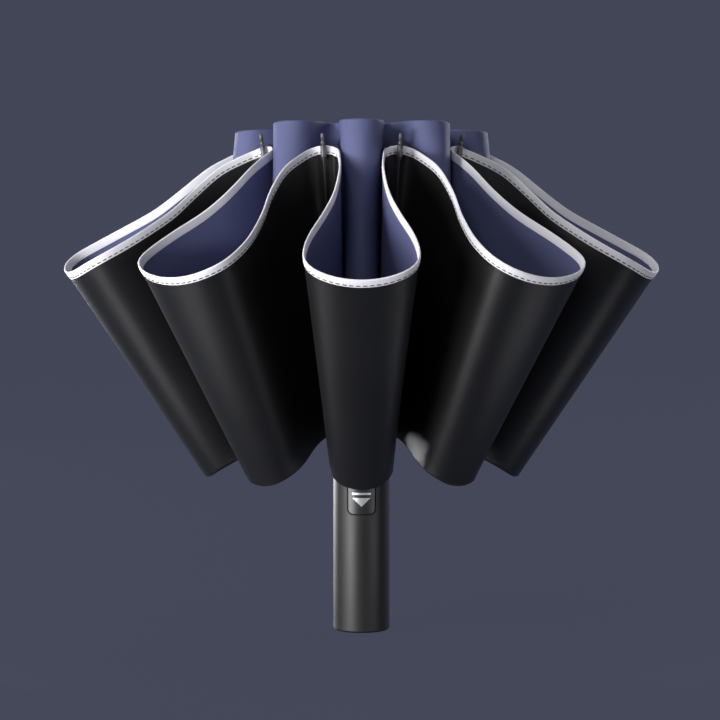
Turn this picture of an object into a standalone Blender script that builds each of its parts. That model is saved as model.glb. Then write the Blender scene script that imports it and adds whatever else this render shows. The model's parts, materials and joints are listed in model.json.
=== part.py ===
"""A folding umbrella of the reverse kind: shaft pushed in, ribs folded, cloth unwrapped.

Ten ribs fold in three, like a letter Z, so the cloth hangs in three layers and ten petals:
from the crown up to the top fold, down to the bottom fold, and up again to the hem.
Everything is drawn in metres, +Z up, standing on the flat base of the handle at the origin.
The button looks along -Y. A rib is drawn in its own upright plane, x outward and z up,
and is then turned to its place round the shaft.
"""

from math import atan, cos, hypot, pi, sin

import bmesh
import bpy
from mathutils import Matrix, Vector

mm = 0.001

# Running gap between pieces that move or that are fitted into each other
gap = 0.3 * mm
# How far a cutter reaches past what it cuts, and how near points are before they are welded
overrun = 2.0 * mm
weld_distance = 0.01 * mm

# The ribs round the shaft
rib_count = 10
rib_pitch = 2 * pi / rib_count
front_angle = -pi / 2

# Handle
handle_radius = 17.0 * mm
handle_height = 118.0 * mm
handle_wall = 2.2 * mm
handle_top_wall = 3.0 * mm
handle_edge = 1.0 * mm
handle_segments = 32
base_height = 8.0 * mm
base_socket_floor = 2.0 * mm

# Button in the front of the handle
button_width = 15.8 * mm
button_height = 26.0 * mm
button_bottom = 72.0 * mm
button_corner = 3.0 * mm
button_proud = 0.5 * mm
button_body_depth = 4.8 * mm
button_flange = 1.3 * mm
button_flange_depth = 2.4 * mm

# The four tubes of the shaft, each sliding on the next smaller one. The widest holds the crown
lower_tube_radius = 4.4 * mm
tube_wall = 0.6 * mm
tube_above_crown_pivot = 2.5 * mm
tube_step_down = 4.2 * mm
tube_floor_gap = 0.6 * mm
tube_segments = 20

# Crown at the top of the shaft, with the pins that the inner ribs turn on
crown_pivot_radius = 11.0 * mm
crown_pivot_above_handle = 34.0 * mm
crown_radius = 13.6 * mm
crown_height = 7.2 * mm
crown_slot_floor_radius = 8.7 * mm
crown_segments = 30
cap_radius = 7.5 * mm
cap_height = 4.6 * mm
cap_stem_length = 6.0 * mm

# Runner below the crown, with the pins that the stretchers turn on
runner_pivot_radius = 14.0 * mm
runner_pivot_below_crown = 18.0 * mm
runner_collar_radius = 10.2 * mm
runner_collar_length = 13.5 * mm
runner_flange_radius = 16.4 * mm
runner_flange_height = 6.4 * mm
runner_slot_floor_radius = 11.7 * mm

# Pins and eyes of the rib joints
pin_radius = 0.6 * mm
pin_overhang = 0.5 * mm
eye_radius = 1.9 * mm
eye_sides = 6
pin_sides = 6
tongue_width = 1.4 * mm

# Inner rib, a channel that is open outward, from the crown to the top joint
top_joint_radius = 43.0 * mm
inner_rib_rise = 144.0 * mm
channel_width = 3.2 * mm
channel_depth = 3.2 * mm
channel_wall = 0.5 * mm
channel_start = 7.0 * mm

# Stretcher, from the runner to the inner rib, where its pin has room to shift
stretcher_reach = 50.0 * mm
stretcher_depth = 2.0 * mm
stretcher_pin_room = 0.3 * mm
stretcher_shift = 0.5 * mm

# Middle rib, from the top joint down to the bottom joint
bottom_joint_radius = 37.6 * mm
middle_rib_drop = 179.5 * mm
middle_width = 2.8 * mm
middle_depth = 2.4 * mm
middle_tongue_length = 24.0 * mm
middle_shoulder_out = 1.6 * mm
middle_foot_in = 3.2 * mm
middle_foot_rise = 7.5 * mm
cheek_width = 0.7 * mm

# Outer rib, a thin rod from the bottom joint up to the tip bead at the hem
rod_radius = 0.9 * mm
rod_sides = 6
rod_foot_out = 3.4 * mm
rod_foot_rise = 8.0 * mm
outer_rib_lean = 34.8 * mm
tip_above_top_joint = 1.4 * mm
bead_radius = 1.55 * mm
bead_length = 13.4 * mm

# Cloth
sheet_thickness = 0.8 * mm
binding_thickness = 1.4 * mm
binding_height = 5.4 * mm
half_petal_steps = 8

# The hem: from the rib tips out to the nose of each petal
hem_valley_inside_tip = 4.4 * mm
hem_valley_below_tip = 7.0 * mm
hem_nose_radius = 178.5 * mm
hem_nose_below_tip = 79.4 * mm
hem_half_width = 31.5 * mm

# The bottom fold
bottom_valley_out = 0.4 * mm
bottom_valley_rise = 9.5 * mm
bottom_nose_radius = 97.0 * mm
bottom_nose_drop = 20.0 * mm
bottom_half_width = 16.0 * mm

# The waist, half way between the bottom fold and the top fold, outside the middle ribs
waist_valley_out = 2.7 * mm
waist_nose_radius = 85.0 * mm
waist_half_width = 7.0 * mm
fold_side_inset = 3.0 * mm

# The top fold, over the top joints
top_valley_out = 6.0 * mm
top_valley_rise = 6.0 * mm
top_nose_radius = 77.6 * mm
top_nose_rise = 9.0 * mm
top_half_width = 12.8 * mm
top_side_drop = 8.0 * mm

# The funnel inside the top fold, down to the crown, and round up to its collar
funnel_valley_in = 5.0 * mm
funnel_inset = 1.6 * mm
funnel_foot_radius = 8.6 * mm
funnel_collar_radius = 16.8 * mm
funnel_collar_share = 0.374

# Half outlines of a petal, from the valley to the nose. The first share of each pair is the
# way out from the valley to the nose, the second is the share of the petal's half width.
hem_outline_shares = (
    (0.039, 0.500),
    (0.102, 0.420),
    (0.234, 0.387),
    (0.377, 0.477),
    (0.506, 0.667),
    (0.673, 0.894),
    (0.798, 0.983),
    (0.895, 0.975),
    (0.957, 0.800),
    (0.990, 0.480),
)
bottom_outline_shares = (
    (0.101, 0.563),
    (0.240, 0.531),
    (0.447, 0.688),
    (0.672, 0.938),
    (0.827, 1.000),
    (0.948, 0.750),
)
waist_outline_shares = (
    (0.130, 1.080),
    (0.330, 1.000),
    (0.550, 1.000),
    (0.760, 0.960),
    (0.920, 0.660),
)
top_outline_shares = (
    (0.129, 0.960),
    (0.327, 0.974),
    (0.492, 1.000),
    (0.690, 0.960),
    (0.865, 0.760),
    (0.965, 0.410),
)
funnel_outline_shares = (
    (0.075, 0.676),
    (0.178, 0.732),
    (0.294, 0.859),
    (0.449, 0.958),
    (0.630, 1.000),
    (0.772, 0.930),
    (0.894, 0.704),
    (0.971, 0.387),
)

# Domed outline of the cap: shares of its height and of its radius
cap_outline_shares = (
    (0.33, 1.00),
    (0.66, 0.90),
    (0.88, 0.62),
)

# Turned outline of a tip bead: shares of its length and of its radius
bead_outline_shares = (
    (0.08, 0.80),
    (0.42, 0.88),
    (0.46, 1.00),
    (0.62, 1.00),
    (0.67, 0.76),
    (0.72, 1.00),
    (0.82, 1.00),
    (0.87, 0.76),
    (0.92, 0.92),
    (1.00, 0.34),
)

# Sizes that follow from the ones above
handle_bore = handle_radius - handle_wall
half_pitch = rib_pitch / 2
hole_radius = pin_radius + gap
slot_width = tongue_width + 2 * gap
tube_radii = [lower_tube_radius + i * (tube_wall + gap) for i in range(4)]
upper_tube_radius = tube_radii[3]
tube_floor = base_height + tube_floor_gap
crown_pivot = Vector((crown_pivot_radius, 0, handle_height + crown_pivot_above_handle))
runner_pivot = Vector((runner_pivot_radius, 0, crown_pivot.z - runner_pivot_below_crown))
tube_top = crown_pivot.z + tube_above_crown_pivot
top_joint = Vector((top_joint_radius, 0, crown_pivot.z + inner_rib_rise))
bottom_joint = Vector((bottom_joint_radius, 0, top_joint.z - middle_rib_drop))
tip = Vector((bottom_joint.x + outer_rib_lean, 0, top_joint.z + tip_above_top_joint))
inner_direction = (top_joint - crown_pivot).normalized()
layer_spacing = sheet_thickness + gap

# Radius and height of the cloth in the valleys and at the noses of the petals
hem_valley = (tip.x - hem_valley_inside_tip, tip.z - hem_valley_below_tip)
hem_nose = (hem_nose_radius, tip.z - hem_nose_below_tip)
bottom_valley = (bottom_joint.x + bottom_valley_out, bottom_joint.z + bottom_valley_rise)
bottom_nose = (bottom_nose_radius, bottom_joint.z - bottom_nose_drop)
top_valley = (top_joint.x + top_valley_out, top_joint.z + top_valley_rise)
top_nose = (top_nose_radius, top_joint.z + top_nose_rise)
waist_valley = (
    (top_joint.x + bottom_joint.x) / 2 + waist_valley_out,
    (top_valley[1] + bottom_valley[1]) / 2,
)
waist_nose = (waist_nose_radius, (top_nose[1] + bottom_nose[1]) / 2)
funnel_foot_height = crown_pivot.z + crown_height / 2 + sheet_thickness / 2 + gap
funnel_rise = top_valley[1] - funnel_foot_height
funnel_collar_height = funnel_foot_height + funnel_collar_share * funnel_rise

finishes = {
    "handle_grip": ((0.030, 0.030, 0.032), 0.55, 0.0),
    "button_face": ((0.016, 0.016, 0.018), 0.35, 0.0),
    "steel_tube": ((0.42, 0.42, 0.44), 0.30, 1.0),
    "crown_nylon": ((0.020, 0.020, 0.022), 0.50, 0.0),
    "rib_metal": ((0.055, 0.055, 0.060), 0.40, 0.9),
    "rib_rod": ((0.030, 0.030, 0.034), 0.45, 0.2),
    "cloth_blue": ((0.085, 0.090, 0.260), 0.60, 0.0),
    "cloth_black": ((0.012, 0.012, 0.013), 0.60, 0.0),
    "binding_white": ((0.80, 0.80, 0.86), 0.60, 0.0),
}


# Tools that the sub-parts share

def outward(direction):
    return Vector((direction.z, 0, -direction.x))


def clear_scene():
    for thing in list(bpy.data.objects):
        bpy.data.objects.remove(thing, do_unlink=True)


def finish_material(name):
    found = bpy.data.materials.get(name)
    if found:
        return found
    color, roughness, metallic = finishes[name]
    made = bpy.data.materials.new(name)
    made.use_nodes = True
    shader = made.node_tree.nodes["Principled BSDF"]
    shader.inputs["Base Color"].default_value = (*color, 1)
    shader.inputs["Roughness"].default_value = roughness
    shader.inputs["Metallic"].default_value = metallic
    return made


def new_object(name, mesh, finish):
    made = bpy.data.objects.new(name, mesh)
    bpy.context.scene.collection.objects.link(made)
    if finish:
        mesh.materials.clear()
        mesh.materials.append(finish_material(finish))
    return made


def mesh_from(shape, name):
    bmesh.ops.recalc_face_normals(shape, faces=shape.faces)
    mesh = bpy.data.meshes.new(name)
    shape.to_mesh(mesh)
    shape.free()
    return mesh


def shade_round(mesh):
    mesh.shade_smooth()
    mesh.set_sharp_from_angle(angle=pi / 5)


def scratch(shape, name="tool"):
    made = new_object(name, mesh_from(shape, name), None)
    made.hide_render = True
    made.display_type = "WIRE"
    return made


def combine(base, *steps):
    """Runs the booleans on a scratch object and gives back the finished mesh."""
    for operation, tool in steps:
        change = base.modifiers.new(operation, "BOOLEAN")
        change.operation = operation
        change.solver = "EXACT"
        change.object = tool
    graph = bpy.context.evaluated_depsgraph_get()
    mesh = bpy.data.meshes.new_from_object(base.evaluated_get(graph))
    for thing in [base] + [tool for _, tool in steps]:
        bpy.data.objects.remove(thing, do_unlink=True)
    return mesh


def turned(outline, segments):
    """A closed outline of (radius, height) turned round the z axis."""
    shape = bmesh.new()
    corners = [shape.verts.new((radius, 0, height)) for radius, height in outline]
    edges = [shape.edges.new((a, b)) for a, b in zip(corners, corners[1:] + corners[:1])]
    bmesh.ops.spin(
        shape,
        geom=corners + edges,
        cent=(0, 0, 0),
        axis=(0, 0, 1),
        angle=2 * pi,
        steps=segments,
        use_merge=True,
    )
    bmesh.ops.remove_doubles(shape, verts=shape.verts, dist=weld_distance)
    bmesh.ops.dissolve_degenerate(shape, edges=shape.edges, dist=weld_distance)
    bare = [edge for edge in shape.edges if not edge.link_faces]
    bmesh.ops.delete(shape, geom=bare, context="EDGES")
    return shape


def ring(inner, outer, bottom, top, segments):
    return turned([(outer, bottom), (outer, top), (inner, top), (inner, bottom)], segments)


def plate(outline, start, end):
    """A flat plate: an outline of points in the xz plane, from y = start to y = end."""
    shape = bmesh.new()
    face = shape.faces.new([shape.verts.new((point.x, start, point.z)) for point in outline])
    pulled = bmesh.ops.extrude_face_region(shape, geom=[face])
    moved = [item for item in pulled["geom"] if isinstance(item, bmesh.types.BMVert)]
    bmesh.ops.translate(shape, verts=moved, vec=(0, end - start, 0))
    return shape


def arc(center, radius, first, last, steps):
    """Points on an arc in the xz plane, angles counted from +x towards +z."""
    points = []
    for i in range(steps + 1):
        angle = first + (last - first) * i / steps
        points.append(center + Vector((cos(angle), 0, sin(angle))) * radius)
    return points


def heading(direction):
    angle = atan(direction.z / direction.x) if direction.x else pi / 2
    return angle if direction.x >= 0 else angle + pi


def bar_outline(start, end, start_radius, end_radius, steps=eye_sides // 2):
    """A link seen from the side: round at both ends, each with its own radius."""
    along = heading(end - start)
    far = arc(end, end_radius, along - pi / 2, along + pi / 2, steps)
    near = arc(start, start_radius, along + pi / 2, along + 3 * pi / 2, steps)
    return far + near


def cross_pin(center, radius, half_length, sides=pin_sides):
    shape = bmesh.new()
    place = Matrix.Translation(center) @ Matrix.Rotation(pi / 2, 4, "X")
    bmesh.ops.create_cone(
        shape,
        cap_ends=True,
        segments=sides,
        radius1=radius,
        radius2=radius,
        depth=2 * half_length,
        matrix=place,
    )
    return shape


def box(low, high):
    shape = bmesh.new()
    size = [b - a for a, b in zip(low, high)]
    middle = [(a + b) / 2 for a, b in zip(low, high)]
    place = Matrix.Translation(middle) @ Matrix.Diagonal((*size, 1))
    bmesh.ops.create_cube(shape, size=1, matrix=place)
    return shape


def joined(shapes):
    """Several closed shapes in one mesh, for one boolean."""
    whole = bmesh.new()
    for shape in shapes:
        part = mesh_from(shape, "part")
        whole.from_mesh(part)
        bpy.data.meshes.remove(part)
    return whole


def round_copies(make):
    """The same shape at each rib, turned round the shaft."""
    shapes = []
    for i in range(rib_count):
        shape = make()
        turn = Matrix.Rotation(rib_angle(i), 4, "Z")
        bmesh.ops.transform(shape, matrix=turn, verts=shape.verts)
        shapes.append(shape)
    return joined(shapes)


def rib_angle(index):
    return front_angle + half_pitch + index * rib_pitch


def place_at_ribs(name, mesh, pivot, finish):
    """One object per rib, all sharing a mesh drawn round the pivot."""
    mesh.transform(Matrix.Translation(-pivot))
    shade_round(mesh)
    for i in range(rib_count):
        made = new_object(f"{name}_{i + 1:02d}", mesh, finish)
        turn = Matrix.Rotation(rib_angle(i), 4, "Z")
        made.location = turn @ pivot
        made.rotation_euler = (0, 0, rib_angle(i))


# Handle, base and button

def build_handle():
    inner_top = handle_height - handle_top_wall
    collar = upper_tube_radius + gap
    shell = turned(
        [
            (handle_radius - handle_edge, 0),
            (handle_radius, handle_edge),
            (handle_radius, handle_height - handle_edge),
            (handle_radius - handle_edge, handle_height),
            (collar, handle_height),
            (collar, inner_top),
            (handle_bore, inner_top),
            (handle_bore, 0),
        ],
        handle_segments,
    )
    window = button_outline(button_width / 2 + gap, button_bottom - gap, button_height + 2 * gap)
    cutter = plate(window, -handle_radius - overrun, -handle_bore / 2)
    mesh = combine(scratch(shell), ("DIFFERENCE", scratch(cutter)))
    shade_round(mesh)
    new_object("handle_body", mesh, "handle_grip")


def build_base():
    radius = handle_bore - gap
    socket = lower_tube_radius + gap
    plug = turned(
        [
            (0, 0),
            (radius, 0),
            (radius, base_height),
            (socket, base_height),
            (socket, base_socket_floor),
            (0, base_socket_floor),
        ],
        handle_segments,
    )
    mesh = mesh_from(plug, "handle_base")
    shade_round(mesh)
    new_object("handle_base", mesh, "handle_grip")


def button_outline(half_width, bottom, height):
    """Upright rectangle with rounded lower corners and a gently arched top."""
    corner = Vector((half_width - button_corner, 0, bottom + button_corner))
    right = arc(corner, button_corner, -pi / 2, 0, 4)
    left = [Vector((-point.x, 0, point.z)) for point in reversed(right)]
    head = Vector((half_width - button_corner, 0, bottom + height - button_corner))
    right_head = arc(head, button_corner, 0, pi / 2, 4)
    left_head = [Vector((-point.x, 0, point.z)) for point in reversed(right_head)]
    return right + right_head + left_head + left


def build_button():
    outer = handle_radius + button_proud
    inner = outer - button_body_depth
    bottom = button_bottom
    top = bottom + button_height
    face_block = plate(
        button_outline(button_width / 2, bottom, button_height),
        -outer - overrun,
        -inner / 2,
    )
    face_ring = ring(inner, outer, bottom - overrun, top + overrun, handle_segments)
    face_mesh = combine(scratch(face_block), ("INTERSECT", scratch(face_ring)))
    flange_outer = handle_bore - gap
    flange_inner = flange_outer - button_flange_depth
    flange_bottom = bottom - button_flange
    flange_height = button_height + 2 * button_flange
    flange_block = plate(
        button_outline(button_width / 2 + button_flange, flange_bottom, flange_height),
        -outer - overrun,
        -inner / 2,
    )
    flange_ring = ring(
        flange_inner,
        flange_outer,
        flange_bottom - overrun,
        flange_bottom + flange_height + overrun,
        handle_segments,
    )
    flange_mesh = combine(scratch(flange_block), ("INTERSECT", scratch(flange_ring)))
    face = new_object("face", face_mesh, None)
    flange = new_object("flange", flange_mesh, None)
    mesh = combine(face, ("UNION", flange))
    pivot = Vector((0, -handle_radius, (bottom + top) / 2))
    mesh.transform(Matrix.Translation(-pivot))
    shade_round(mesh)
    button = new_object("button", mesh, "button_face")
    button.location = pivot


# Shaft, crown and runner

def build_tubes():
    names = ("lower_tube", "second_tube", "third_tube", "upper_tube")
    for i, (name, radius) in enumerate(zip(names, tube_radii)):
        bottom = tube_floor if i else base_socket_floor + gap
        top = tube_top - (len(names) - 1 - i) * tube_step_down
        tube = ring(radius - tube_wall, radius, bottom, top, tube_segments)
        mesh = mesh_from(tube, name)
        shade_round(mesh)
        new_object(name, mesh, "steel_tube")


def hub_with_pins(outline, pivot, slot_floor, rim):
    """A turned hub, slotted at each rib, with a pin across each slot."""
    def slot():
        return box(
            (slot_floor, -slot_width / 2, pivot.z - rim - overrun),
            (rim + overrun, slot_width / 2, pivot.z + rim + overrun),
        )

    def pin():
        return cross_pin(pivot, pin_radius, slot_width / 2 + pin_overhang)

    hub = scratch(turned(outline, crown_segments))
    slots = scratch(round_copies(slot))
    pins = scratch(round_copies(pin))
    mesh = combine(hub, ("DIFFERENCE", slots), ("UNION", pins))
    shade_round(mesh)
    return mesh


def build_crown():
    bore = upper_tube_radius + gap
    bottom = crown_pivot.z - crown_height / 2
    top = crown_pivot.z + crown_height / 2
    outline = [
        (bore, bottom),
        (crown_radius - handle_edge, bottom),
        (crown_radius, bottom + handle_edge),
        (crown_radius, top - handle_edge),
        (crown_radius - handle_edge, top),
        (bore, top),
    ]
    mesh = hub_with_pins(outline, crown_pivot, crown_slot_floor_radius, crown_radius)
    new_object("crown", mesh, "crown_nylon")


def build_cap():
    """The screw-on cap over the cloth, with its stem in the upper tube."""
    under = funnel_foot_height + sheet_thickness / 2 + gap
    stem = upper_tube_radius - tube_wall - gap
    outline = [
        (0, under - cap_stem_length),
        (stem, under - cap_stem_length),
        (stem, under),
        (cap_radius, under),
    ]
    for height_share, radius_share in cap_outline_shares:
        outline.append((cap_radius * radius_share, under + cap_height * height_share))
    outline.append((0, under + cap_height))
    mesh = mesh_from(turned(outline, crown_segments // 2), "crown_cap")
    shade_round(mesh)
    new_object("crown_cap", mesh, "crown_nylon")


def build_runner():
    bore = upper_tube_radius + gap
    runner_bottom = runner_pivot.z - runner_collar_length
    flange_bottom = runner_pivot.z - runner_flange_height / 2
    flange_top = runner_pivot.z + runner_flange_height / 2
    outline = [
        (bore, runner_bottom),
        (runner_collar_radius - handle_edge, runner_bottom),
        (runner_collar_radius, runner_bottom + handle_edge),
        (runner_collar_radius, flange_bottom),
        (runner_flange_radius, flange_bottom),
        (runner_flange_radius, flange_top),
        (bore, flange_top),
    ]
    mesh = hub_with_pins(outline, runner_pivot, runner_slot_floor_radius, runner_flange_radius)
    new_object("runner", mesh, "crown_nylon")


# Ribs and stretchers

def stretcher_joint_place():
    """Where the stretcher meets the inner rib, towards the open side of the channel."""
    along = inner_direction * stretcher_reach
    return crown_pivot + along + outward(inner_direction) * stretcher_shift


def channel(start, direction, length, width, depth, wall):
    """A straight channel along a direction, its open side outward."""
    side = outward(direction)
    inner = width / 2 - wall
    low = -depth / 2
    outline = [
        (low, -width / 2),
        (depth / 2, -width / 2),
        (depth / 2, -inner),
        (low + wall, -inner),
        (low + wall, inner),
        (depth / 2, inner),
        (depth / 2, width / 2),
        (low, width / 2),
    ]
    shape = bmesh.new()
    corners = []
    for out, across in outline:
        corners.append(shape.verts.new(start + side * out + Vector((0, across, 0))))
    pulled = bmesh.ops.extrude_face_region(shape, geom=[shape.faces.new(corners)])
    moved = [item for item in pulled["geom"] if isinstance(item, bmesh.types.BMVert)]
    bmesh.ops.translate(shape, verts=moved, vec=direction * length)
    return shape


def build_inner_ribs():
    side = outward(inner_direction)
    along = heading(inner_direction)
    half_depth = channel_depth / 2
    foot = crown_pivot + inner_direction * channel_start
    length = (top_joint - foot).length + eye_radius
    trough = channel(foot, inner_direction, length, channel_width, channel_depth, channel_wall)
    # The walls end round, and the back stops short of the top joint to let the middle rib in
    ends = [foot - side * channel_depth, foot + side * channel_depth]
    ends += arc(top_joint, half_depth, along - pi / 2, along + pi / 2, eye_sides // 2)
    rounding = plate(ends, -channel_width, channel_width)
    notch_start = top_joint - inner_direction * eye_radius * 2
    notch_side = side * (channel_wall + gap - half_depth)
    notch = plate(
        [
            notch_start - side * channel_depth,
            notch_start + notch_side,
            notch_start + notch_side + inner_direction * channel_start,
            notch_start - side * channel_depth + inner_direction * channel_start,
        ],
        -channel_width,
        channel_width,
    )
    # The root of the channel is pinched together into the tongue that turns in the crown
    root_start = foot + inner_direction * channel_wall
    root_end = root_start + inner_direction * channel_start / 2
    low = side * (channel_wall / 2 - half_depth)
    high = side * (half_depth - channel_wall)
    root_width = (channel_width - channel_wall) / 2
    root = plate(
        [root_start + low, root_end + low, root_end + high, root_start + high],
        -root_width,
        root_width,
    )
    tongue_end = foot + inner_direction * channel_start
    tongue = plate(
        bar_outline(crown_pivot, tongue_end, eye_radius, half_depth / 2),
        -tongue_width / 2,
        tongue_width / 2,
    )
    crown_hole = cross_pin(crown_pivot, hole_radius, channel_width)
    top_hole = cross_pin(top_joint, hole_radius, channel_width)
    stretcher_room = hole_radius + stretcher_pin_room
    stretcher_hole = cross_pin(stretcher_joint_place(), stretcher_room, channel_width)
    mesh = combine(
        scratch(trough),
        ("INTERSECT", scratch(rounding)),
        ("DIFFERENCE", scratch(notch)),
        ("UNION", scratch(root)),
        ("UNION", scratch(tongue)),
        ("DIFFERENCE", scratch(crown_hole)),
        ("DIFFERENCE", scratch(top_hole)),
        ("DIFFERENCE", scratch(stretcher_hole)),
    )
    place_at_ribs("inner_rib", mesh, crown_pivot, "rib_metal")


def build_stretchers():
    stretcher_joint = stretcher_joint_place()
    half_tongue = tongue_width / 2
    half_depth = stretcher_depth / 2
    direction = (stretcher_joint - runner_pivot).normalized()
    along = heading(direction)
    side = outward(direction)
    neck = direction * eye_radius * 2
    outline = [runner_pivot + neck + side * half_depth]
    outline.append(stretcher_joint - neck + side * half_depth)
    outline += arc(stretcher_joint, half_depth, along - pi / 2, along + pi / 2, 4)
    outline.append(stretcher_joint - neck - side * half_depth)
    outline.append(runner_pivot + neck - side * half_depth)
    outline += arc(runner_pivot, eye_radius, along + pi * 3 / 4, along + pi * 5 / 4, 3)
    body = plate(outline, -half_tongue, half_tongue)
    pin = cross_pin(stretcher_joint, pin_radius, channel_width / 2 + pin_overhang)
    hole = cross_pin(runner_pivot, hole_radius, channel_width)
    mesh = combine(scratch(body), ("UNION", scratch(pin)), ("DIFFERENCE", scratch(hole)))
    place_at_ribs("stretcher", mesh, runner_pivot, "rib_metal")


def build_middle_ribs():
    half_depth = middle_depth / 2
    top = top_joint + Vector((middle_shoulder_out, 0, -middle_tongue_length))
    foot = bottom_joint + Vector((-middle_foot_in, 0, middle_foot_rise))
    direction = (foot - top).normalized()
    side = outward(direction)
    tongue = plate(
        bar_outline(top_joint, top + direction * middle_depth, half_depth, half_depth / 2),
        -tongue_width / 2,
        tongue_width / 2,
    )
    bar = plate(
        [
            top + side * half_depth,
            foot + side * half_depth,
            foot - side * half_depth,
            top - side * half_depth,
        ],
        -middle_width / 2,
        middle_width / 2,
    )
    cheek_line = bar_outline(foot, bottom_joint, half_depth, eye_radius)
    inner_face = tongue_width / 2 + gap
    near = plate(cheek_line, -inner_face - cheek_width, -inner_face)
    far = plate(cheek_line, inner_face, inner_face + cheek_width)
    # The bar ends above the bottom joint, where its two cheeks go on alone
    pin = cross_pin(top_joint, pin_radius, channel_width / 2 + pin_overhang)
    hole = cross_pin(bottom_joint, hole_radius, channel_width)
    mesh = combine(
        scratch(bar),
        ("UNION", scratch(tongue)),
        ("UNION", scratch(near)),
        ("UNION", scratch(far)),
        ("UNION", scratch(pin)),
        ("DIFFERENCE", scratch(hole)),
    )
    place_at_ribs("middle_rib", mesh, top_joint, "rib_metal")


def round_rod(start, end, outline, sides):
    """A rod along a line: outline holds pairs of (distance from start, radius)."""
    direction = (end - start).normalized()
    turn = Vector((0, 0, 1)).rotation_difference(direction).to_matrix().to_4x4()
    first = (0, outline[0][0])
    last = (0, outline[-1][0])
    shape = turned([first] + [(radius, run) for run, radius in outline] + [last], sides)
    bmesh.ops.transform(shape, matrix=Matrix.Translation(start) @ turn, verts=shape.verts)
    return shape


def build_outer_ribs():
    foot = bottom_joint + Vector((rod_foot_out, 0, rod_foot_rise))
    length = (tip - foot).length
    bead_start = length - bead_length
    outline = [(0, rod_radius), (bead_start, rod_radius)]
    for along_share, radius_share in bead_outline_shares:
        outline.append((bead_start + along_share * bead_length, radius_share * bead_radius))
    rod = round_rod(foot, tip, outline, rod_sides)
    direction = (tip - foot).normalized()
    tongue = plate(
        bar_outline(bottom_joint, foot + direction * eye_radius * 2, eye_radius, rod_radius),
        -tongue_width / 2,
        tongue_width / 2,
    )
    pin = cross_pin(bottom_joint, pin_radius, channel_width / 2 + pin_overhang)
    mesh = combine(scratch(rod), ("UNION", scratch(tongue)), ("UNION", scratch(pin)))
    place_at_ribs("outer_rib", mesh, bottom_joint, "rib_rod")


# Cloth

def smooth_curve(points, steps):
    """Even steps along a smooth curve through the points, which are (x, y) pairs."""
    first = points[0]
    last = points[-1]
    # Past its ends the curve goes on as its mirror image in the planes of the rib and the petal
    before = mirror_in_rib_plane(points[1])
    after = (-points[-2][0], points[-2][1])
    control = [before] + list(points) + [after]
    fine = []
    fine_steps = 12
    for i in range(1, len(control) - 2):
        p0, p1, p2, p3 = control[i - 1 : i + 3]
        for k in range(fine_steps):
            t = k / fine_steps
            fine.append(tuple(catmull_rom(a, b, c, d, t) for a, b, c, d in zip(p0, p1, p2, p3)))
    fine.append(last)
    run = [0.0]
    for a, b in zip(fine, fine[1:]):
        run.append(run[-1] + hypot(b[0] - a[0], b[1] - a[1]))
    sampled = [first]
    k = 0
    for step in range(1, steps):
        goal = run[-1] * step / steps
        while run[k + 1] < goal:
            k += 1
        part = (goal - run[k]) / (run[k + 1] - run[k])
        sampled.append(tuple(a + (b - a) * part for a, b in zip(fine[k], fine[k + 1])))
    sampled.append(last)
    return sampled


def catmull_rom(a, b, c, d, t):
    return (
        2 * b
        + (c - a) * t
        + (2 * a - 5 * b + 4 * c - d) * t * t
        + (3 * b - a - 3 * c + d) * t * t * t
    ) / 2


def mirror_in_rib_plane(point):
    """Mirror of an (across, out) point in the plane of the rib beside the petal."""
    across, out = point
    lateral = out * sin(half_pitch) - across * cos(half_pitch)
    radial = out * cos(half_pitch) + across * sin(half_pitch)
    return (
        radial * sin(half_pitch) + lateral * cos(half_pitch),
        radial * cos(half_pitch) - lateral * sin(half_pitch),
    )


def petal_row(valley, nose, half_width, shares, drop=0.0):
    """One closed row of points through all the valleys and noses, with its heights."""
    valley_radius, valley_height = valley
    nose_radius, nose_height = nose
    valley_out = valley_radius * cos(half_pitch)
    points = [(valley_radius * sin(half_pitch), valley_out)]
    for out_share, width_share in shares:
        out = valley_out + out_share * (nose_radius - valley_out)
        points.append((width_share * half_width, out))
    points.append((0.0, nose_radius))
    half = smooth_curve(points, half_petal_steps)
    row = []
    for petal in range(rib_count):
        angle = front_angle + petal * rib_pitch
        lower = drop * sin(angle - front_angle) ** 4
        loop = [(-across, out) for across, out in half] + [p for p in reversed(half[1:-1])]
        for across, out in loop:
            radius = hypot(across, out)
            share = (radius - valley_radius) / (nose_radius - valley_radius)
            height = valley_height + (nose_height - valley_height) * share - lower
            row.append(
                Vector(
                    (
                        out * cos(angle) - across * sin(angle),
                        out * sin(angle) + across * cos(angle),
                        height,
                    )
                )
            )
    return row


def round_row(radius, height):
    """A plain circle with as many points as a row of petals."""
    row = []
    for i in range(2 * half_petal_steps * rib_count):
        angle = front_angle - half_pitch + i * rib_pitch / (2 * half_petal_steps)
        row.append(Vector((radius * cos(angle), radius * sin(angle), height)))
    return row


def sheet_solid(name, rows, thickness, finish):
    """A closed ring of cloth through rows of points, given its thickness."""
    shape = bmesh.new()
    grid = [[shape.verts.new(point) for point in row] for row in rows]
    count = len(rows[0])
    for lower, upper in zip(grid, grid[1:]):
        for i in range(count):
            j = (i + 1) % count
            shape.faces.new((lower[i], lower[j], upper[j], upper[i]))
    mesh = bpy.data.meshes.new(name)
    shape.to_mesh(mesh)
    shape.free()
    mesh.shade_smooth()
    made = new_object(name, mesh, finish)
    solid = made.modifiers.new("thickness", "SOLIDIFY")
    solid.thickness = thickness
    solid.offset = 0
    return made


def inset(place, distance):
    radius, height = place
    return radius - distance, height


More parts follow.
